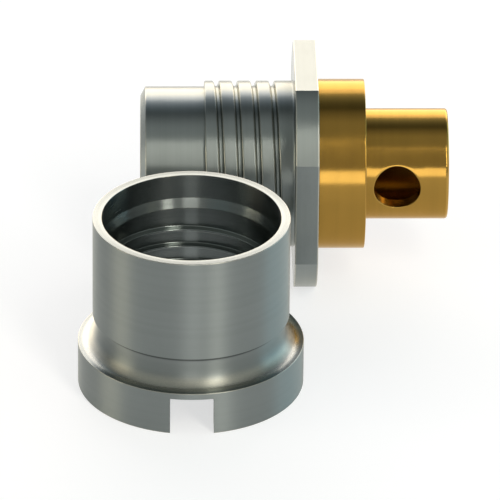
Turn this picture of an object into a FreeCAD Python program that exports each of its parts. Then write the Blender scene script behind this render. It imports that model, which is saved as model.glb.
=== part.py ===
"""Cable-end bulkhead connector of the small push-on coaxial kind, with its slotted ring nut.

The connector lies on one of its wrench flats, axis along X, mouth towards -X, cable end towards +X.
The origin is on that axis, at the face of the flange that bears on the panel. The nut is off the
thread and stands on its slotted flange beside the connector. All sizes are in millimetres.
"""
import os

import FreeCAD
import Part

# Outer form of the steel body
thread_diameter = 4.5
thread_pitch = 0.5
thread_length = 2.42
thread_depth = 0.14
lead_in_turn = 0.78
thread_runout = 0.25
groove_top_width = 0.16
groove_root_width = 0.08
shroud_relief = 0.015
mouth_reach = 4.145
mouth_chamfer_length = 0.13
mouth_chamfer_depth = 0.245
mouth_rim_width = 0.10
flange_step = 1.10
flange_thickness = 0.625
flat_depth = 0.35

# Push-on interface inside the mouth
detent_diameter = 2.94
detent_land = 0.20
lead_in_length = 0.36
retaining_groove_depth = 0.13
retaining_groove_width = 0.40
cavity_relief = 0.055
cavity_depth = 2.40

# Insulators and centre contact
bead_diameter = 1.92
bead_head_step = 0.33
bead_head_length = 0.25
pin_diameter = 0.38
pin_reach = 1.0
pin_tip_length = 0.10
stem_step = 0.10
conductor_bore_diameter = 0.53
conductor_bore_depth = 1.10
socket_wall = 0.135
insulator_end_wall = 0.25

# Gold-plated cable ferrule
spigot_length = 0.67
cable_bore_diameter = 2.25
cable_bore_depth = 2.60
tube_wall = 0.375
tube_length = 2.26
collar_step = 0.80
collar_length = 1.295
tube_edge_round = 0.08
solder_hole_diameter = 1.25
solder_hole_from_collar = 0.86

# Ring nut
nut_height = 4.87
nut_wall = 0.24
nut_recess_depth = 0.68
nut_cone_length = 0.26
nut_body_length = 2.83
neck_relief = 0.11
nut_flange_step = 0.39
nut_flange_thickness = 1.215
cove_radius = 0.42
largest_cove_share = 0.9
slot_width = 1.15
slot_depth = 1.045
rib_tip_width = 0.05
rib_base_width = 0.12
rib_lead = 0.20
nut_forward = 6.55
nut_aside = -2.84

# Clearances between mating pieces
assembly_gap = 0.01
thread_tip_clearance = 0.015
thread_crest_clearance = 0.03
nut_recess_clearance = 0.12

# Radii and places along the axis that the pieces share
crest_radius = thread_diameter / 2
root_radius = crest_radius - thread_depth
shroud_radius = root_radius - shroud_relief
flange_radius = crest_radius + flange_step
flat_distance = flange_radius - flat_depth
detent_radius = detent_diameter / 2
bead_radius = bead_diameter / 2
bead_bore_radius = bead_radius + assembly_gap
head_radius = bead_radius + bead_head_step
pin_radius = pin_diameter / 2
stem_radius = pin_radius + stem_step
conductor_radius = conductor_bore_diameter / 2
socket_radius = conductor_radius + socket_wall
cable_bore_radius = cable_bore_diameter / 2
tube_radius = cable_bore_radius + tube_wall
collar_radius = tube_radius + collar_step
mouth_x = -mouth_reach
cavity_floor_x = mouth_x + cavity_depth
spigot_front_x = flange_thickness - spigot_length
head_front_x = spigot_front_x - bead_head_length
collar_end_x = flange_thickness + collar_length
tube_end_x = collar_end_x + tube_length
cable_stop_x = tube_end_x - cable_bore_depth
socket_end_x = cable_stop_x - insulator_end_wall

ORIGIN = FreeCAD.Vector(0, 0, 0)
Y_AXIS = FreeCAD.Vector(0, 1, 0)
Z_AXIS = FreeCAD.Vector(0, 0, 1)


def turned(outline):
    """Turn a closed outline of (height, radius) points about the Z axis."""
    points = [FreeCAD.Vector(radius, 0, height) for height, radius in outline]
    face = Part.Face(Part.makePolygon(points + points[:1]))
    return face.revolve(ORIGIN, Z_AXIS, 360)


def round_rim(shape, height, radius, fillet):
    """Round the circular edge that lies at this height and radius about Z."""
    same_place = 1e-4
    rims = [edge for edge in shape.Edges
            if isinstance(edge.Curve, Part.Circle)
            and abs(edge.Curve.Center.z - height) < same_place
            and abs(edge.Curve.Radius - radius) < same_place]
    return shape.makeFillet(fillet, rims)


def laid_along_x(shape):
    """Lay a piece that was turned about Z so that its heights run along X."""
    shape.rotate(ORIGIN, Y_AXIS, 90)
    return shape


def helical_sweep(inner, outer, start, end):
    """Sweep a trapezoid up a right-hand helix about Z; inner and outer are (radius, width)."""
    corners = [(inner[0], -inner[1] / 2), (outer[0], -outer[1] / 2),
               (outer[0], outer[1] / 2), (inner[0], inner[1] / 2)]
    points = [FreeCAD.Vector(radius, 0, start + height) for radius, height in corners]
    profile = Part.makePolygon(points + points[:1])
    spine = Part.makeHelix(thread_pitch, end - start, inner[0])
    spine.translate(FreeCAD.Vector(0, 0, start))
    return spine.makePipeShell([profile], True, True)


def wrench_flats(shape):
    """Cut the four flats into the flange, leaving the rest of the body as it is."""
    block = Part.makeBox(2 * flange_radius, 2 * flange_radius, flange_thickness,
                         FreeCAD.Vector(-flange_radius, -flange_radius, 0))
    keep = Part.makeBox(2 * flat_distance, 2 * flat_distance, flange_thickness,
                        FreeCAD.Vector(-flat_distance, -flat_distance, 0))
    return shape.cut(block.cut(keep))


def body():
    """Steel body: push-on mouth, threaded shank and wrench flange turned from one bar."""
    rim_outer = shroud_radius - mouth_chamfer_depth
    land_start = mouth_x + lead_in_length
    land_end = land_start + detent_land
    groove_end = land_end + retaining_groove_width
    groove_radius = detent_radius + retaining_groove_depth
    cavity_radius = detent_radius + cavity_relief
    socket_bore = head_radius + assembly_gap
    shell = turned([
        (mouth_x, rim_outer - mouth_rim_width),
        (mouth_x, rim_outer),
        (mouth_x + mouth_chamfer_length, shroud_radius),
        (-thread_length, shroud_radius),
        (-thread_length, crest_radius),
        (0, crest_radius),
        (0, flange_radius),
        (flange_thickness, flange_radius),
        (flange_thickness, socket_bore),
        (head_front_x, socket_bore),
        (head_front_x, bead_bore_radius),
        (cavity_floor_x, bead_bore_radius),
        (cavity_floor_x, cavity_radius),
        (groove_end + retaining_groove_depth - cavity_relief, cavity_radius),
        (groove_end, groove_radius),
        (land_end + retaining_groove_depth, groove_radius),
        (land_end, detent_radius),
        (land_start, detent_radius),
    ])
    overcut = thread_tip_clearance
    spread = (groove_top_width - groove_root_width) / thread_depth
    groove_mouth = groove_top_width + spread * overcut
    groove_start = -thread_length - lead_in_turn * thread_pitch
    groove = helical_sweep((root_radius, groove_root_width),
                           (crest_radius + overcut, groove_mouth),
                           groove_start, -thread_runout)
    return laid_along_x(wrench_flats(shell.cut(groove)))


def cable_ferrule():
    """Gold-plated ferrule: a spigot pressed into the flange, a collar, and the cable tube."""
    shell = turned([
        (spigot_front_x, bead_bore_radius),
        (spigot_front_x, head_radius),
        (flange_thickness, head_radius),
        (flange_thickness, collar_radius),
        (collar_end_x, collar_radius),
        (collar_end_x, tube_radius),
        (tube_end_x, tube_radius),
        (tube_end_x, cable_bore_radius),
        (cable_stop_x, cable_bore_radius),
        (cable_stop_x, bead_bore_radius),
    ])
    shell = round_rim(shell, tube_end_x, tube_radius, tube_edge_round)
    ferrule = laid_along_x(shell)
    hole_x = collar_end_x + solder_hole_from_collar
    drill = Part.makeCylinder(solder_hole_diameter / 2, 2 * tube_radius,
                              FreeCAD.Vector(hole_x, 0, 0), -Y_AXIS)
    return ferrule.cut(drill)


def front_insulator():
    """Headed bead that holds the contact's stem; its head is trapped by the ferrule's spigot."""
    stem_bore = stem_radius + assembly_gap
    return laid_along_x(turned([
        (cavity_floor_x, stem_bore),
        (cavity_floor_x, bead_radius),
        (head_front_x, bead_radius),
        (head_front_x, head_radius),
        (spigot_front_x, head_radius),
        (spigot_front_x, stem_bore),
    ]))


def rear_insulator():
    """Cup-shaped bead round the contact's socket, from the front bead to the cable stop."""
    socket_bore = socket_radius + assembly_gap
    return laid_along_x(turned([
        (spigot_front_x, socket_bore),
        (spigot_front_x, bead_radius),
        (cable_stop_x, bead_radius),
        (cable_stop_x, conductor_radius),
        (socket_end_x, conductor_radius),
        (socket_end_x, socket_bore),
    ]))


def centre_contact():
    """Pin at the mouth, stem through the front bead and socket for the cable's conductor."""
    tip_x = cavity_floor_x - pin_reach
    bore_floor_x = socket_end_x - conductor_bore_depth
    return laid_along_x(turned([
        (tip_x, 0),
        (tip_x, pin_radius / 2),
        (tip_x + pin_tip_length, pin_radius),
        (cavity_floor_x, pin_radius),
        (cavity_floor_x, stem_radius),
        (spigot_front_x, stem_radius),
        (spigot_front_x, socket_radius),
        (socket_end_x, socket_radius),
        (socket_end_x, conductor_radius),
        (bore_floor_x, conductor_radius),
        (bore_floor_x, 0),
    ]))


def mounting_nut():
    """Ring nut: recessed threaded barrel, necked and coved into a flange with two spanner slots."""
    bore = crest_radius + thread_crest_clearance
    rib_tip = root_radius + thread_tip_clearance
    recess = crest_radius + nut_recess_clearance
    barrel = recess + nut_wall
    neck = barrel - neck_relief
    flange = barrel + nut_flange_step
    cone_bottom = nut_height - nut_recess_depth - nut_cone_length
    neck_top = nut_height - nut_body_length
    blank = turned([
        (0, bore),
        (0, flange),
        (nut_flange_thickness, flange),
        (nut_flange_thickness, neck),
        (neck_top, neck),
        (neck_top, barrel),
        (nut_height, barrel),
        (nut_height, recess),
        (nut_height - nut_recess_depth, recess),
        (cone_bottom, bore),
    ])
    cove_room = min(flange - neck, neck_top - nut_flange_thickness)
    cove = min(cove_radius, largest_cove_share * cove_room)
    blank = round_rim(blank, nut_flange_thickness, neck, cove)
    overlap = thread_crest_clearance / 2
    rib = helical_sweep((rib_tip, rib_tip_width), (bore + overlap, rib_base_width),
                        rib_lead, cone_bottom - rib_lead)
    slots = Part.makeBox(slot_width, 2 * flange, slot_depth,
                         FreeCAD.Vector(-slot_width / 2, -flange, 0))
    nut = blank.fuse(rib).cut(slots)
    nut.translate(FreeCAD.Vector(nut_aside, -nut_forward, -flat_distance))
    return nut


def main():
    pieces = {
        "body": body(),
        "cable_ferrule": cable_ferrule(),
        "front_insulator": front_insulator(),
        "rear_insulator": rear_insulator(),
        "centre_contact": centre_contact(),
        "mounting_nut": mounting_nut(),
    }
    os.makedirs("parts", exist_ok=True)
    for name, shape in pieces.items():
        shape.exportStep("parts/" + name + ".step")
        print(name, "solids", len(shape.Solids), "valid", shape.isValid(), "volume", round(shape.Volume, 4))


main()
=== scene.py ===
import math

import bmesh
import bpy
import numpy as np
from mathutils import Matrix, Vector


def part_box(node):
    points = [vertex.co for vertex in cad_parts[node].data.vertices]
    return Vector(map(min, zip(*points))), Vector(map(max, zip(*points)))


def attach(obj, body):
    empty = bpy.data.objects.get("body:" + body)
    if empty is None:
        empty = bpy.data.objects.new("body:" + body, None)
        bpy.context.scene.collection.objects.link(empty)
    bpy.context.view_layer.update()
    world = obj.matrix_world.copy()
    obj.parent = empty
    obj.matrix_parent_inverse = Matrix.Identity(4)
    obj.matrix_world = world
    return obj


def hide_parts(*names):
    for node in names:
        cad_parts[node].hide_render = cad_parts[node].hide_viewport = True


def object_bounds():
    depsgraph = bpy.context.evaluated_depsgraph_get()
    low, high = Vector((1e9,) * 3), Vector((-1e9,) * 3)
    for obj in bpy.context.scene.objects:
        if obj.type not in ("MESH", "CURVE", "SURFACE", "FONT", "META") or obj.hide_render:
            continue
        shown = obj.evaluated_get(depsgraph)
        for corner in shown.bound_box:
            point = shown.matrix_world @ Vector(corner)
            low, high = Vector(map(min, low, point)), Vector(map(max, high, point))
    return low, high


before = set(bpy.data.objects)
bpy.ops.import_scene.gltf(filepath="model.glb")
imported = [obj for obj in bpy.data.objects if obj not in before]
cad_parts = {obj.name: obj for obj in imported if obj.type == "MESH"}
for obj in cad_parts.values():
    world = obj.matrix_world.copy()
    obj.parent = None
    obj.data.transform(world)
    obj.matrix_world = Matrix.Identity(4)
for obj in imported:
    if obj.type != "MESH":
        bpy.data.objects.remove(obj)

cad_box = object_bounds()


# Centre contact: one turned copper-alloy piece, plated with gold. Its pin stands in the mouth, its stem
# runs through the front bead, and its socket takes the cable's centre conductor from behind.
MM = 0.001
WELD = 1e-7
SEGMENTS = 288
SHARP_TURN = math.radians(24)

pin_radius = 0.19
pin_tip_length = 0.10
stem_radius = 0.29
socket_radius = 0.40
conductor_radius = 0.265
conductor_bore_depth = 1.10
cavity_floor = -1.745
bead_joint = -0.045
gold_colour = (0.318, 0.184, 0.038, 1.0)
# Paler gold for rubbed edges: edge wear, and a painted highlight on them.
gold_worn_sheen_colour = (0.62, 0.40, 0.11, 1.0)
gold_edge_tint = (1.0, 0.86, 0.66, 1.0)


def rounded(corners, steps=4, guard=0.025):
    """Rows (height, radius, mark for edge wear and painted highlight) of an outline whose corners (height,
    radius, fillet) are eased by arcs.
    A row at guard's distance from each arc keeps the flat beside it flat when it is shaded smooth."""
    rows = []
    for index, (height, radius, fillet) in enumerate(corners):
        here = np.array((height, radius))
        if not fillet:
            rows.append((height, radius, 0.0))
            continue
        into = here - np.array(corners[index - 1][:2])
        away = np.array(corners[(index + 1) % len(corners)][:2]) - here
        run_in = np.linalg.norm(into)
        run_out = np.linalg.norm(away)
        into /= run_in
        away /= run_out
        turn = math.acos(max(-1.0, min(1.0, float(into @ away))))
        reach = fillet * math.tan(turn / 2)
        bisector = (away - into) / np.linalg.norm(away - into)
        centre = here + bisector * fillet / math.cos(turn / 2)
        first = here - into * reach - centre
        last = here + away * reach - centre
        rows.append((*(here - into * min(reach + guard, 0.5 * (reach + run_in))), 0.0))
        for step in range(steps + 1):
            share = step / steps
            spoke = (math.sin((1 - share) * turn) * first + math.sin(share * turn) * last) / math.sin(turn)
            # Arc rows carry the mark for edge wear and painted highlight, fullest at mid-arc.
            rows.append((*(centre + spoke), math.sin(share * math.pi) ** 0.5))
        rows.append((*(here + away * min(reach + guard, 0.5 * (reach + run_out))), 0.0))
    return rows


def piece(name, points, faces, wear):
    """Make an object from points in millimetres, welded where rows meet, smooth but for true edges."""
    mesh = bpy.data.meshes.new(name)
    mesh.from_pydata((np.asarray(points) * MM).tolist(), [], faces)
    # The mark: edge wear and painted highlight where positive, painted shade where negative.
    mesh.attributes.new("wear", "FLOAT", "POINT").data.foreach_set("value", np.asarray(wear, float))
    shape = bmesh.new()
    shape.from_mesh(mesh)
    bmesh.ops.remove_doubles(shape, verts=shape.verts, dist=WELD)
    bmesh.ops.dissolve_degenerate(shape, edges=shape.edges, dist=WELD)
    bmesh.ops.recalc_face_normals(shape, faces=shape.faces)
    shape.to_mesh(mesh)
    shape.free()
    mesh.shade_smooth()
    mesh.set_sharp_from_angle(angle=SHARP_TURN)
    made = bpy.data.objects.new(name, mesh)
    bpy.context.scene.collection.objects.link(made)
    return made


def grid_faces(rows, columns, kept=None):
    """Quads between neighbouring rows, the last row joined to the first."""
    faces = []
    for row in range(rows):
        below = (row + 1) % rows
        for column in range(columns - 1):
            if kept is None or kept(row, column):
                faces.append((row * columns + column, row * columns + column + 1,
                              below * columns + column + 1, below * columns + column))
    return faces


def spun(heights, radii, angles):
    """Points of rows by columns, turned about the Z axis."""
    return np.stack((radii * np.cos(angles), radii * np.sin(angles), heights), axis=-1).reshape(-1, 3)


def full_turn(segments=SEGMENTS):
    return np.linspace(0.0, 2 * math.pi, segments + 1)


def as_grid(rows, angles):
    """Arrays of height, radius and mark (edge wear and painted highlight, or painted shade), one line a row;
    a row's values may vary round the turn.
    """
    return [np.array([np.broadcast_to(np.asarray(row[part], float), angles.shape) for row in rows])
            for part in range(3)]


def lathe(name, corners):
    """Turn a plain outline into a piece."""
    angles = full_turn()
    heights, radii, wear = as_grid(rounded(corners), angles)
    return piece(name, spun(heights, radii, angles), grid_faces(*heights.shape), wear.ravel())


class Wire:
    """One output of a shader node; arithmetic on it adds Math nodes to the same material."""

    def __init__(self, tree, socket=None):
        self.tree = tree
        self.socket = socket

    def node(self, kind, settings, sockets, output=0):
        made = self.tree.nodes.new("ShaderNode" + kind)
        for name, value in settings.items():
            if name == "stops":
                ramp = made.color_ramp.elements
                while len(ramp) < len(value):
                    ramp.new(1.0)
                for stop, (position, colour) in zip(ramp, value):
                    stop.position = position
                    stop.color = colour
            else:
                setattr(made, name, value)
        self.feed(made, sockets)
        return Wire(self.tree, made.outputs[output])

    def feed(self, node, sockets):
        """Link or set a node's inputs."""
        for name, value in sockets.items():
            if isinstance(value, Wire):
                self.tree.links.new(value.socket, node.inputs[name])
            else:
                node.inputs[name].default_value = value

    def maths(self, operation, *others):
        return self.node("Math", {"operation": operation}, dict(enumerate((self, *others))))

    def __add__(self, other):
        return self.maths("ADD", other)

    __radd__ = __add__

    def __sub__(self, other):
        return self.maths("SUBTRACT", other)

    def __rsub__(self, other):
        return self * -1.0 + other

    def __mul__(self, other):
        return self.maths("MULTIPLY", other)

    __rmul__ = __mul__

    def __pow__(self, other):
        return self.maths("POWER", other)

    def mixed(self, low, high):
        """A colour between low and high, by this value."""
        return self.node("Mix", {"data_type": "RGBA"}, {0: self, 6: low, 7: high}, 2)

    def scaled(self, factor):
        """This colour or vector times a factor."""
        return self.node("VectorMath", {"operation": "SCALE"}, {0: self, "Scale": factor})

    def noise(self, scale, detail):
        """Noise over this place."""
        return self.node("TexNoise", {}, {"Vector": self, "Scale": scale, "Detail": detail})

    def stepped(self, low, high):
        """0 below low, 1 above high, and smooth between."""
        return self.node("MapRange", {"interpolation_type": "SMOOTHSTEP"},
                         {"Value": self, "From Min": low, "From Max": high})


def new_finish(name):
    """A new material, its surface shader and a wire to build on."""
    material = bpy.data.materials.new(name)
    material.use_nodes = True
    return material, material.node_tree.nodes["Principled BSDF"], Wire(material.node_tree)


def lathe_place(start):
    """Where a point is: in millimetres, its distance from the turning axis, and its place on the profile."""
    in_mm = start.node("TexCoord", {}, {}, "Object").scaled(1 / MM)
    x, y, height = [start.node("SeparateXYZ", {}, {0: in_mm}, axis) for axis in "XYZ"]
    radius = (x * x + y * y) ** 0.5
    return in_mm, radius, start.node("CombineXYZ", {}, {0: radius, 1: height, 2: 0.0})


def turned_metal(name, colour, worn_sheen_colour, edge_tint, roughness, brushing, line_depth, bored_radius):
    """Metal from the lathe: fine rings round the axis, faint clouding, edges painted paler as wear and as a
    painted highlight, painted shade where the mark is negative, and a finer finish on faced ends and on
    bored walls, which lie inside bored_radius."""
    ring_shade, band_shade, cloud_shade = 0.12, 0.14, 0.12
    plain_shade = 1 - (ring_shade + band_shade + cloud_shade) / 2
    band_height, grain_height = 2.0, 0.25
    # Shares of the paler edge colour (edge wear and painted highlight) and of the painted shade.
    rubbed_sheen_share, rubbed_sheen_grain, painted_shade_share = 0.25, 0.20, 0.6
    ring_roughness, cloud_roughness, rubbed_polish = 0.10, 0.12, 0.05
    faced_polish, bored_polish, bore_blend = 0.45, 0.45, 0.05

    material, surface, start = new_finish(name)
    in_mm, radius, profile = lathe_place(start)
    rings = profile.noise(30.0, 2.0)
    bands = profile.noise(5.0, 1.0)
    clouds = in_mm.noise(1.1, 3.0)
    grain = in_mm.noise(60.0, 2.0)
    normal = start.node("TexCoord", {}, {}, "Normal")
    faced = start.node("SeparateXYZ", {}, {0: normal}, "Z").maths("ABSOLUTE").stepped(0.80, 0.98)
    outer = radius.stepped(bored_radius - bore_blend, bored_radius + bore_blend)
    edge = start.node("Attribute", {"attribute_name": "wear"}, {}, "Fac")
    # Where the mark is positive the edges are painted paler: edge wear, and a painted highlight on them.
    rubbed_sheen = edge.stepped(0.0, 1.0) * (grain.stepped(0.35, 0.65) * rubbed_sheen_grain + rubbed_sheen_share)
    # Where the mark is negative the colour is darkened: painted shade.
    painted_shade = (0.0 - edge).stepped(0.0, 1.0) * painted_shade_share
    shade = (rings * ring_shade + bands * band_shade + clouds * cloud_shade + plain_shade) * (1.0 - painted_shade)
    plain_colour = start.node("VectorMath", {"operation": "SCALE"}, {0: colour[:3], "Scale": shade})
    start.feed(surface, {
        "Base Color": rubbed_sheen.mixed(plain_colour, worn_sheen_colour),
        "Roughness": (roughness + (rings - 0.5) * ring_roughness + (clouds - 0.5) * cloud_roughness
                      - rubbed_sheen * rubbed_polish)
                     * (1.0 - faced * faced_polish) * (outer * bored_polish + (1 - bored_polish)),
        "Normal": start.node("Bump", {}, {"Strength": 1.0, "Distance": line_depth * MM,
                                          "Height": rings + bands * band_height + grain * grain_height}),
        "Metallic": 1.0,
        "Specular Tint": edge_tint,
        "Anisotropic": brushing,
        "Anisotropic Rotation": 0.25,
    })
    return material


def fitted(made, material, slot, *nodes):
    """Give a piece its material, hide the solids it stands for, and hang it on the root body."""
    made.data.materials.append(material)
    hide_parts(*nodes)
    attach(made, "root")
    return made


laid_along_x = Matrix.Rotation(math.radians(90), 4, "Y")
gold = turned_metal("turned_gold_plate", gold_colour, gold_worn_sheen_colour, gold_edge_tint,
                    roughness=0.20, brushing=0.6, line_depth=0.0002, bored_radius=0.3)

contact_low, contact_high = [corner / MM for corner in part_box("centre_contact")]
tip = contact_low.x
socket_end = contact_high.x
contact = lathe("contact_pin", [
    (tip, 0.0, 0),
    (tip, pin_radius / 2, 0.03),
    (tip + pin_tip_length, pin_radius, 0.04),
    (cavity_floor, pin_radius, 0),
    (cavity_floor, stem_radius, 0.01),
    (bead_joint, stem_radius, 0),
    (bead_joint, socket_radius, 0.02),
    (socket_end, socket_radius, 0.02),
    (socket_end, conductor_radius, 0.02),
    (socket_end - conductor_bore_depth, conductor_radius, 0),
    (socket_end - conductor_bore_depth, 0.0, 0),
])
contact.matrix_world = laid_along_x
fitted(contact, gold, "gold_plate", "centre_contact")


# Beads: two turned PTFE insulators. The headed one closes the back of the mouth and holds the pin; the
# cup behind it sits round the socket inside the ferrule. Both are pressed in from behind, then trapped.
bead_radius = 0.96
head_radius = 1.29
head_front = -0.295
bead_clearance = 0.01
ptfe_colour = (0.78, 0.78, 0.74, 1.0)
ptfe_shade_colour = (0.68, 0.68, 0.63, 1.0)


def turned_ptfe(name):
    """Waxy white PTFE with faint turning marks."""
    mark_depth = 0.004
    material, surface, start = new_finish(name)
    in_mm, _, profile = lathe_place(start)
    rings = profile.noise(14.0, 2.0)
    clouds = in_mm.noise(2.5, 3.0)
    start.feed(surface, {
        "Base Color": clouds.stepped(0.3, 0.7).mixed(ptfe_shade_colour, ptfe_colour),
        "Roughness": 0.42 + rings * 0.12,
        "Normal": start.node("Bump", {}, {"Distance": mark_depth * MM, "Height": rings}),
    })
    return material


ptfe = turned_ptfe("turned_ptfe")
stem_bore = stem_radius + bead_clearance
front_bead = lathe("front_bead", [
    (cavity_floor, stem_bore, 0.02),
    (cavity_floor, bead_radius, 0.03),
    (head_front, bead_radius, 0),
    (head_front, head_radius, 0.02),
    (bead_joint, head_radius, 0.02),
    (bead_joint, stem_bore, 0.02),
])
front_bead.matrix_world = laid_along_x
fitted(front_bead, ptfe, "ptfe", "front_insulator")

cable_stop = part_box("rear_insulator")[1].x / MM
rear_bead = lathe("rear_bead", [
    (bead_joint, socket_radius + bead_clearance, 0.02),
    (bead_joint, bead_radius, 0.02),
    (cable_stop, bead_radius, 0.03),
    (cable_stop, conductor_radius, 0.02),
    (socket_end, conductor_radius, 0),
    (socket_end, socket_radius + bead_clearance, 0),
])
rear_bead.matrix_world = laid_along_x
fitted(rear_bead, ptfe, "ptfe", "rear_insulator")


# Body: one bar of stainless steel, turned to the push-on mouth, the shroud and the threaded shank, with
# four wrench flats milled on its flange. The thread is a narrow groove wound round a wide land.
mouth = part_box("body")[0].x / MM
flange_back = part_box("body")[1].x / MM
flat_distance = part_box("body")[1].z / MM
shroud_radius = 2.095
mouth_chamfer_length = 0.13
rim_outer_radius = 1.85
rim_inner_radius = 1.75
lead_in_length = 0.36
detent_radius = 1.47
detent_land = 0.20
retaining_groove_width = 0.40
retaining_groove_depth = 0.13
cavity_radius = 1.525
crest_radius = 2.25
root_radius = 2.11
thread_pitch = 0.5
shank_front = -2.42
groove_start = -2.81
groove_end = -0.25
groove_fade = 0.12
groove_top_half = 0.08
groove_root_half = 0.04
land_edge_round = 0.045
groove_root_round = 0.03
flank_wear_sheen_from = 0.02
flank_wear_sheen_to = 0.05
flank_wear_sheen_fade = 0.03
front_edge_wear_sheen = 0.8
flange_radius = 3.35
flange_edge_round = 0.02
flange_edge_guard = 0.04
shank_fillet = 0.06
body_segments = 360
bead_bore = bead_radius + bead_clearance
head_bore = head_radius + bead_clearance
steel_colour = (0.240, 0.263, 0.256, 1.0)
# Pale cream for rubbed edges: edge wear, and a painted highlight on them.
steel_worn_sheen_colour = (0.74, 0.70, 0.57, 1.0)
steel_edge_tint = (1.0, 0.98, 0.92, 1.0)


def helical_rows(angles, winding_start, section, low, high):
    """Heights of a thread's rows at each angle, held between low and high, in rising order."""
    first = int(math.floor((low - winding_start) / thread_pitch)) - 1
    last = int(math.ceil((high - winding_start) / thread_pitch)) + 1
    rows = [winding_start + thread_pitch * (turn + angles / (2 * math.pi)) + offset
            for turn in range(first, last + 1) for offset, _ in section]
    return np.clip(np.array(rows), low, high)


def thread_depth_at(heights, angles, winding_start, winding_end, fade, section):
    """How far a thread's section stands off its plain radius; it dies out where the winding ends."""
    along = heights - winding_start - thread_pitch * angles / (2 * math.pi)
    offset = (along + thread_pitch / 2) % thread_pitch - thread_pitch / 2
    centre = heights - offset
    ease = np.clip((winding_end - centre) / fade, 0, 1) * np.clip((centre - winding_start) / fade + 1, 0, 1)
    widths, depths = zip(*section)
    return np.interp(offset, widths, depths) * ease * ease * (3 - 2 * ease)


def thread_section(outer_half, inner_half, depth, outer_round, inner_round):
    """Offsets and depths across one turn of a thread, its corners eased by arcs."""
    reach = thread_pitch / 4
    return [(offset, sunk) for offset, sunk, _ in rounded([
        (-reach, 0.0, 0),
        (-outer_half, 0.0, outer_round),
        (-inner_half, depth, inner_round),
        (inner_half, depth, inner_round),
        (outer_half, 0.0, outer_round),
        (reach, 0.0, 0),
    ], guard=0.0)]


def body_angles():
    """Columns of the body, with one on each edge where a wrench flat meets the flange's arc."""
    half = math.acos(flat_distance / flange_radius)
    edges = [quarter * math.pi / 2 + side * half for quarter in range(5) for side in (-1, 1)]
    edges = [edge for edge in edges if 0 < edge < 2 * math.pi]
    return np.unique(np.round(np.concatenate((full_turn(body_segments), edges)), 9))


def body_piece():
    """The whole body as one closed skin: mouth, bore, flange and threaded shank."""
    angles = body_angles()
    land_start = mouth + lead_in_length
    land_end = land_start + detent_land
    groove_back = land_end + retaining_groove_width
    outside = rounded([
        (mouth, rim_inner_radius, 0.02),
        (mouth, rim_outer_radius, 0.02),
        (mouth + mouth_chamfer_length, shroud_radius, 0.03),
        (shank_front, shroud_radius, 0),
    ])

    section = thread_section(groove_top_half, groove_root_half, crest_radius - root_radius,
                             land_edge_round, groove_root_round)
    easing = [land_edge_round * (1 - math.cos(math.radians(step))) for step in range(0, 91, 15)]
    fixed = np.array([np.full_like(angles, shank_front + inset) for inset in easing])
    wound = helical_rows(angles, groove_start, section, shank_front, -shank_fillet)
    heights = np.sort(np.concatenate((fixed, wound)), axis=0)
    depths = thread_depth_at(heights, angles, groove_start, groove_end, groove_fade, section)
    inset = np.clip(land_edge_round - (heights - shank_front), 0, land_edge_round)
    front_edge = crest_radius - land_edge_round + np.sqrt(land_edge_round ** 2 - inset ** 2)
    radii = np.minimum(crest_radius - depths, front_edge)
    # Thread flanks and the shank's front edge are marked paler: edge wear and painted highlight.
    below_wear_sheen = np.clip((depths - flank_wear_sheen_to) / flank_wear_sheen_fade, 0, 1)
    flank_wear_sheen = np.clip(np.minimum(depths / flank_wear_sheen_from, 1) * (1 - below_wear_sheen), 0, 1)
    worn_sheen = np.maximum(flank_wear_sheen, np.clip(inset / land_edge_round, 0, 1) * front_edge_wear_sheen)
    shank = list(zip(heights, radii, worn_sheen))

    fillet = [(-shank_fillet + shank_fillet * math.sin(math.radians(step)),
               crest_radius + shank_fillet * (1 - math.cos(math.radians(step))), 0.0)
              for step in range(15, 91, 15)]
    quarter = (angles + math.pi / 4) % (math.pi / 2) - math.pi / 4
    rim = np.minimum(flange_radius, flat_distance / np.cos(quarter))
    ease = flange_edge_round
    arc = [(ease * (1 - math.sin(math.radians(step))), ease * (1 - math.cos(math.radians(step))))
           for step in range(0, 91, 30)]
    guard = flange_edge_guard
    # The flange's rounded edges carry the full mark: edge wear and painted highlight.
    flange = [(0.0, rim - guard, 0.0)]
    flange += [(axial, rim - radial, 1.0) for radial, axial in arc]
    flange += [(guard, rim, 0.0), (flange_back - guard, rim, 0.0)]
    flange += [(flange_back - axial, rim - radial, 1.0) for radial, axial in reversed(arc)]
    flange += [(flange_back, rim - guard, 0.0)]

    inside = rounded([
        (flange_back, head_bore, 0),
        (head_front, head_bore, 0),
        (head_front, bead_bore, 0),
        (cavity_floor, bead_bore, 0),
        (cavity_floor, cavity_radius, 0),
        (groove_back + retaining_groove_depth + detent_radius - cavity_radius, cavity_radius, 0),
        (groove_back, detent_radius + retaining_groove_depth, 0),
        (land_end + retaining_groove_depth, detent_radius + retaining_groove_depth, 0),
        (land_end, detent_radius, 0.02),
        (land_start, detent_radius, 0.03),
        (mouth, rim_inner_radius, 0),
    ])[:-1]
    heights, radii, wear = as_grid(outside + shank + fillet + flange + inside, angles)
    return piece("steel_body", spun(heights, radii, angles), grid_faces(*heights.shape), wear.ravel())


steel = turned_metal("turned_steel", steel_colour, steel_worn_sheen_colour, steel_edge_tint,
                     roughness=0.36, brushing=0.85, line_depth=0.0003, bored_radius=1.7)
body = body_piece()
body.matrix_world = laid_along_x
fitted(body, steel, "steel", "body")


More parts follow.
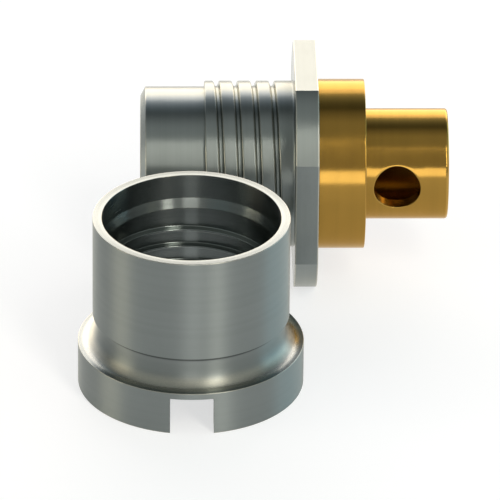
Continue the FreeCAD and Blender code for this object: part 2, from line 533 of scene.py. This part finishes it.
# Ferrule: a gold-plated turned collar and cable tube. Its spigot is pressed into the flange, the cable's
# jacket enters the tube from behind, and solder runs in through the hole in its side.
spigot_front = bead_joint
collar_radius = 2.3
collar_end = 1.92
tube_radius = 1.5
tube_edge_round = 0.08
cable_bore = 1.125
tube_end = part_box("cable_ferrule")[1].x / MM
solder_hole_radius = 0.625
solder_hole_height = 2.78
solder_hole_edge = 0.025
patch_half_length = 0.78
patch_rows = 25
patch_half_columns = 34
patch_ring_shares = (0.7, 0.45, 0.25, 0.1, 0.0)
hole_edge_steps = (22.5, 45.0, 67.5, 90.0)
hole_wall_shares = (0.1, 0.3, 0.5, 0.7, 0.9, 1.0)
bore_ring_shares = (0.1, 0.4, 0.7)


def ferrule_piece():
    """The ferrule as one skin; round the hole its rows give way to rings that end in the hole's wall."""
    angles = full_turn()
    centre_column = round(SEGMENTS * 0.75)
    patch_heights = np.linspace(solder_hole_height - patch_half_length,
                                solder_hole_height + patch_half_length, patch_rows)
    outside = rounded([
        (spigot_front, bead_bore, 0),
        (spigot_front, head_radius, 0),
        (flange_back, head_radius, 0),
        (flange_back, collar_radius, 0.02),
        (collar_end, collar_radius, 0.025),
        (collar_end, tube_radius, 0),
    ])
    outer_patch = [(height, tube_radius, 0.0) for height in patch_heights]
    end = rounded([
        (collar_end, tube_radius, 0),
        (tube_end, tube_radius, tube_edge_round),
        (tube_end, cable_bore, 0.03),
        (cable_stop, cable_bore, 0),
    ], steps=6)[1:-1]
    inner_patch = [(height, cable_bore, 0.0) for height in reversed(patch_heights)]
    seat = [(cable_stop, cable_bore, 0.0), (cable_stop, bead_bore, 0.0)]
    rows = outside + outer_patch + end + inner_patch + seat
    outer_start = len(outside)
    inner_start = outer_start + patch_rows + len(end)
    first = centre_column - patch_half_columns
    last = centre_column + patch_half_columns

    def kept(row, column):
        in_patch = any(start <= row < start + patch_rows - 1 for start in (outer_start, inner_start))
        return not (in_patch and first <= column < last)

    heights, radii, wear = as_grid(rows, angles)
    points = spun(heights, radii, angles).tolist()
    faces = grid_faces(*heights.shape, kept)
    wear = wear.ravel().tolist()
    columns = len(angles)

    def frame_of(start, backwards):
        """Vertices on the edge of a patch, in one turn round the hole."""
        near, far = (start + patch_rows - 1, start) if backwards else (start, start + patch_rows - 1)
        step = -1 if backwards else 1
        loop = [(near, column) for column in range(first, last)]
        loop += [(row, last) for row in range(near, far, step)]
        loop += [(far, column) for column in range(last, first, -1)]
        loop += [(row, first) for row in range(far, near, -step)]
        return [row * columns + column for row, column in loop]

    outer_loop = frame_of(outer_start, False)
    inner_loop = frame_of(inner_start, True)
    rings = [outer_loop]

    def spoke(index):
        """Direction and distance of an edge vertex from the hole's centre line."""
        across, _, height = points[index]
        rise = height - solder_hole_height
        return math.atan2(rise, across), math.hypot(across, rise)

    def add_ring(place_of, worn_sheen):
        ring = []
        for outer_index, inner_index in zip(outer_loop, inner_loop):
            ring.append(len(points))
            points.append(place_of(spoke(outer_index), spoke(inner_index)))
            wear.append(worn_sheen)
        rings.append(ring)

    def on_tube(angle, distance, radius, sunk):
        across = distance * math.cos(angle)
        return (across, -math.sqrt(radius ** 2 - across ** 2) + sunk,
                solder_hole_height + distance * math.sin(angle))

    mouth_edge = solder_hole_radius + solder_hole_edge
    for share in patch_ring_shares:
        add_ring(lambda outer, inner: on_tube(
            outer[0], mouth_edge + share * (outer[1] - mouth_edge), tube_radius, 0.0), 0.0)
    # The hole's rounded rim carries the full mark: edge wear and painted highlight, a pale rim.
    for step in hole_edge_steps:
        lean = math.radians(step)
        add_ring(lambda outer, inner: on_tube(
            outer[0], mouth_edge - solder_hole_edge * math.sin(lean), tube_radius,
            solder_hole_edge * (1 - math.cos(lean))), 1.0)
    for share in hole_wall_shares:
        def on_wall(outer, inner):
            bend = (inner[0] - outer[0] + math.pi) % (2 * math.pi) - math.pi
            angle = outer[0] + share * bend
            start = on_tube(angle, solder_hole_radius, tube_radius, solder_hole_edge)
            stop = on_tube(angle, solder_hole_radius, cable_bore, 0.0)
            return (start[0], start[1] + share * (stop[1] - start[1]), start[2])
        add_ring(on_wall, 0.0)
    for share in bore_ring_shares:
        add_ring(lambda outer, inner: on_tube(
            inner[0], solder_hole_radius + share * (inner[1] - solder_hole_radius), cable_bore, 0.0), 0.0)
    rings.append(inner_loop)
    for ring, following in zip(rings, rings[1:]):
        for index in range(len(ring)):
            ahead = (index + 1) % len(ring)
            faces.append((ring[index], ring[ahead], following[ahead], following[index]))
    return piece("gold_ferrule", points, faces, wear)


ferrule = ferrule_piece()
ferrule.matrix_world = laid_along_x
fitted(ferrule, gold, "gold_plate", "cable_ferrule")


# Ring nut: turned from the same steel. Its recessed end goes on over the mouth and down the shank's
# thread; two slots milled across the flange at its other end take a pin spanner.
nut_low, nut_high = [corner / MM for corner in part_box("mounting_nut")]
nut_height = nut_high.z - nut_low.z
nut_flange_radius = (nut_high.x - nut_low.x) / 2
nut_bore = 2.28
rib_tip_radius = 2.125
rib_tip_half = 0.025
rib_base_half = 0.06
rib_lead = 0.20
rib_round = 0.02
rib_fade = 0.15
recess_radius = 2.37
recess_depth = 0.68
cone_length = 0.26
barrel_radius = 2.61
barrel_length = 2.83
neck_radius = 2.50
# Painted shade: a dark band on the neck under the barrel's overhang, with its fade.
undercut_painted_shade = 0.09
undercut_painted_shade_fade = 0.04
nut_flange_thickness = 1.215
cove_radius = 0.42
# The painted highlight in the cove fades in over this distance out from the neck.
cove_painted_highlight_fade = 0.12
bore_margin = 0.1
slot_half_width = 0.575
slot_depth = 1.045
slot_columns = 17
side_columns = 88


def nut_columns(radii):
    """Angles of the columns on rows of these radii: level planes across the slots, even steps elsewhere."""
    edge = np.arccos(slot_half_width / radii)
    crossing = np.arccos(slot_half_width * np.linspace(1, -1, slot_columns) / radii)
    quarter = edge * np.linspace(0, 1, side_columns)
    half = math.pi + edge * np.linspace(-1, 1, 2 * side_columns)
    return np.concatenate((quarter, crossing, half, 2 * math.pi - crossing[:, ::-1],
                           2 * math.pi - quarter[:, ::-1]), axis=1)


def nut_piece():
    """The nut as one skin; across each slot its lower rows are lifted to the slot's roof."""
    section = thread_section(rib_base_half, rib_tip_half, nut_bore - rib_tip_radius, rib_round, rib_round)
    cone_bottom = nut_height - recess_depth - cone_length
    neck_top = nut_height - barrel_length
    plain = rounded([
        (0.0, nut_bore, 0.02),
        (0.0, nut_flange_radius, 0.03),
        (slot_depth, nut_flange_radius, 0),
        (nut_flange_thickness, nut_flange_radius, 0.02),
        (nut_flange_thickness, neck_radius, cove_radius),
        (neck_top - undercut_painted_shade - undercut_painted_shade_fade, neck_radius, 0),
        (neck_top - undercut_painted_shade, neck_radius, 0),
        (neck_top, neck_radius, 0),
        (neck_top, barrel_radius, 0),
        (nut_height, barrel_radius, 0.02),
        (nut_height, recess_radius, 0.008),
        (nut_height - recess_depth, recess_radius, 0.02),
        (cone_bottom, nut_bore, 0.02),
    ], steps=8)
    painted_shade_start = neck_top - undercut_painted_shade - undercut_painted_shade_fade / 2
    cove_top = nut_flange_thickness + cove_radius

    def wear_sheen_shade_at(height, radius, worn_sheen):
        """Painted shade under the barrel's overhang, and a painted highlight making the cove paler towards
        its foot.
        """
        # Painted shade on the neck rows under the overhang.
        if radius == neck_radius and height > painted_shade_start:
            return -1.0
        # Painted highlight: the cove is painted paler towards its foot.
        in_cove = radius > neck_radius and nut_flange_thickness < height < cove_top
        return min(1.0, (radius - neck_radius) / cove_painted_highlight_fade) if in_cove else worn_sheen

    plain = [(height, radius, wear_sheen_shade_at(height, radius, worn_sheen)) for height, radius, worn_sheen in plain]
    bore_angles = nut_columns(np.array([[nut_bore]]))[0]
    bore = helical_rows(bore_angles, rib_lead, section, bore_margin, cone_bottom - bore_margin)[::-1]

    slot_edges = np.cumsum([side_columns, slot_columns, 2 * side_columns, slot_columns])
    in_slot = np.zeros(bore_angles.size, bool)
    in_slot[slot_edges[0]:slot_edges[1]] = True
    in_slot[slot_edges[2]:slot_edges[3]] = True
    for column in np.concatenate((slot_edges - 1, slot_edges)):
        lowest_above = np.flatnonzero(bore[:, column] >= slot_depth)[-1]
        bore[lowest_above, column] = slot_depth
    bore = np.where(in_slot, np.maximum(bore, slot_depth), bore)
    rise = thread_depth_at(bore, bore_angles, rib_lead, cone_bottom - rib_lead, rib_fade, section)

    heights, radii, wear = as_grid(plain, bore_angles)
    heights = np.where(in_slot, np.maximum(heights, slot_depth), heights)
    angles = np.concatenate((np.broadcast_to(bore_angles, bore.shape), nut_columns(radii[:, :1])))
    heights = np.concatenate((bore, heights))
    radii = np.concatenate((nut_bore - rise, radii))
    wear = np.concatenate((np.zeros_like(rise), wear))
    rows, columns = heights.shape

    quarter = np.full(side_columns, np.nan)
    quarter[-1] = slot_half_width
    half = np.full(2 * side_columns, np.nan)
    half[0] = half[-1] = -slot_half_width
    slot = slot_half_width * np.linspace(1, -1, slot_columns)
    planes = np.concatenate((quarter, slot, half, slot[::-1], quarter[::-1]))
    across = radii * np.cos(angles)
    along = radii * np.sin(angles)
    level = ~np.isnan(planes)
    across[:, level] = planes[level]
    along[:, level] = np.sign(along[:, level]) * np.sqrt(radii[:, level] ** 2 - planes[level] ** 2)
    points = np.stack((across, along, heights), axis=-1).reshape(-1, 3)

    open_after = set((slot_edges - 1).tolist())
    faces = grid_faces(rows, columns, lambda row, column: column not in open_after)
    for index, edge in enumerate(slot_edges):
        outer, inner = (edge - 1, edge) if index % 2 == 0 else (edge, edge - 1)
        walled = [row for row in range(rows) if heights[row, outer] < slot_depth]
        walled = [walled[0] - 1] + walled + [walled[-1] + 1]
        loop = [row * columns + outer for row in walled] + [row * columns + inner for row in walled[-2:0:-1]]
        faces.append(tuple(int(corner) for corner in loop))
    return piece("steel_nut", points, faces, wear.ravel())


nut_steel = turned_metal("turned_nut_steel", steel_colour, steel_worn_sheen_colour, steel_edge_tint,
                         roughness=0.46, brushing=0.9, line_depth=0.0006, bored_radius=2.45)
nut = nut_piece()
nut_centre = (nut_low + nut_high) / 2
nut.matrix_world = Matrix.Translation(Vector((nut_centre.x, nut_centre.y, nut_low.z)) * MM)
fitted(nut, nut_steel, "steel", "mounting_nut")


# Studio: a pale floor, a broad soft box with a fringe above it low behind the part, a tall narrow lamp and
# a low one in front, a warm lamp on its left and a cool one on its right, and a sky that is darkest a
# little behind the zenith. The camera looks down from the front.
floor_size = 4.0
floor_colour = (0.50, 0.50, 0.51, 1.0)
floor_white = 0.62
lamps = {
    "back_box": {"distance": 0.45, "bearing": 0, "elevation": 15, "width": 0.56, "height": 0.24,
                 "glow": 3.2, "colour": (1.0, 0.85, 0.70)},
    "back_fringe": {"distance": 0.45, "bearing": 0, "elevation": 35, "width": 0.56, "height": 0.09,
                    "glow": 1.7, "colour": (1.0, 0.90, 0.87)},
    "front_box": {"distance": 0.40, "bearing": 150, "elevation": 38, "width": 0.08, "height": 0.30,
                  "glow": 7.2, "colour": (1.0, 0.96, 0.86)},
    "front_strip": {"distance": 0.40, "bearing": 180, "elevation": 9, "width": 0.13, "height": 0.12,
                    "glow": 3.2, "colour": (1.0, 0.97, 0.91)},
    "left_strip": {"distance": 0.40, "bearing": -97, "elevation": 8, "width": 0.16, "height": 0.14,
                   "glow": 3.5, "colour": (1.0, 0.87, 0.62)},
    "right_strip": {"distance": 0.40, "bearing": 68, "elevation": 10, "width": 0.36, "height": 0.14,
                    "glow": 2.2, "colour": (0.50, 0.86, 1.0)},
}
sky_stops = [
    (0.00, (0.90, 0.93, 0.97, 1.0)),
    (0.12, (0.74, 0.82, 0.93, 1.0)),
    (0.18, (0.35, 0.42, 0.49, 1.0)),
    (0.26, (0.16, 0.19, 0.21, 1.0)),
    (0.34, (0.10, 0.115, 0.115, 1.0)),
    (0.41, (0.27, 0.29, 0.29, 1.0)),
    (0.54, (0.50, 0.53, 0.52, 1.0)),
    (0.69, (0.47, 0.50, 0.48, 1.0)),
    (0.83, (0.40, 0.42, 0.40, 1.0)),
    (0.93, (0.46, 0.47, 0.45, 1.0)),
    (1.00, (0.54, 0.54, 0.52, 1.0)),
]

half = floor_size / 2
floor_mesh = bpy.data.meshes.new("floor")
floor_mesh.from_pydata([(-half, -half, cad_box[0].z), (half, -half, cad_box[0].z),
                        (half, half, cad_box[0].z), (-half, half, cad_box[0].z)], [], [(0, 1, 2, 3)])
floor = bpy.data.objects.new("floor", floor_mesh)
bpy.context.scene.collection.objects.link(floor)
floor_paint, floor_surface, floor_start = new_finish("floor_paint")
to_camera, to_metal, to_glass = [floor_start.node("LightPath", {}, {}, ray) for ray in
                                 ("Is Camera Ray", "Is Glossy Ray", "Is Transmission Ray")]
floor_start.feed(floor_surface, {
    "Base Color": floor_colour,
    "Roughness": 0.9,
    "Specular IOR Level": 0.0,
    "Emission Color": (to_camera + to_metal + to_glass).maths("MINIMUM", 1.0),
    "Emission Strength": floor_white,
})
floor.data.materials.append(floor_paint)


def soft_lamp(name, distance, bearing, elevation, width, height, glow, colour):
    """A rectangular lamp that faces the part; bearing 0 is behind it and 90 to its right."""
    turn = math.radians(bearing)
    rise = math.radians(elevation)
    towards = Vector((math.sin(turn) * math.cos(rise), math.cos(turn) * math.cos(rise), math.sin(rise)))
    lamp = bpy.data.lights.new(name, "AREA")
    lamp.shape = "RECTANGLE"
    lamp.size = width
    lamp.size_y = height
    lamp.energy = glow * math.pi * width * height
    lamp.color = colour
    made = bpy.data.objects.new(name, lamp)
    bpy.context.scene.collection.objects.link(made)
    made.location = towards * distance
    made.rotation_euler = towards.to_track_quat("Z", "Y").to_euler()
    made.visible_camera = False


for lamp_name, lamp_place in lamps.items():
    soft_lamp(lamp_name, **lamp_place)

world = bpy.data.worlds.new("studio_sky")
bpy.context.scene.world = world
world.use_nodes = True
sky = Wire(world.node_tree)
outward = sky.node("TexCoord", {}, {}, "Generated")
backwards = sky.node("SeparateXYZ", {}, {0: outward}, "Y")
sky_colour = sky.node("ValToRGB", {"stops": sky_stops}, {0: 0.5 - backwards * 0.5})
sky.feed(world.node_tree.nodes["Background"], {"Color": sky_colour})

view_point = Vector((-1.147, 0.0, -2.678)) * MM
view_distance = 218.58 * MM
view_yaw = math.radians(1.277)
view_pitch = math.radians(28.567)
view_roll = math.radians(0.553)
lens_length = 576.0
sensor_width = 36.0

lens = bpy.data.cameras.new("camera")
lens.lens = lens_length
lens.sensor_width = sensor_width
lens.clip_start = 0.01
lens.clip_end = 10.0
camera = bpy.data.objects.new("camera", lens)
bpy.context.scene.collection.objects.link(camera)
forward = Vector((math.cos(view_pitch) * math.sin(view_yaw), math.cos(view_pitch) * math.cos(view_yaw),
                  -math.sin(view_pitch)))
level_right = Vector((math.cos(view_yaw), -math.sin(view_yaw), 0.0))
level_up = level_right.cross(forward)
right = level_right * math.cos(view_roll) + level_up * math.sin(view_roll)
up = right.cross(forward)
camera.matrix_world = (Matrix.Translation(view_point - forward * view_distance)
                       @ Matrix((right, up, -forward)).transposed().to_4x4())
bpy.context.scene.camera = camera
bpy.context.scene.view_settings.view_transform = "Standard"
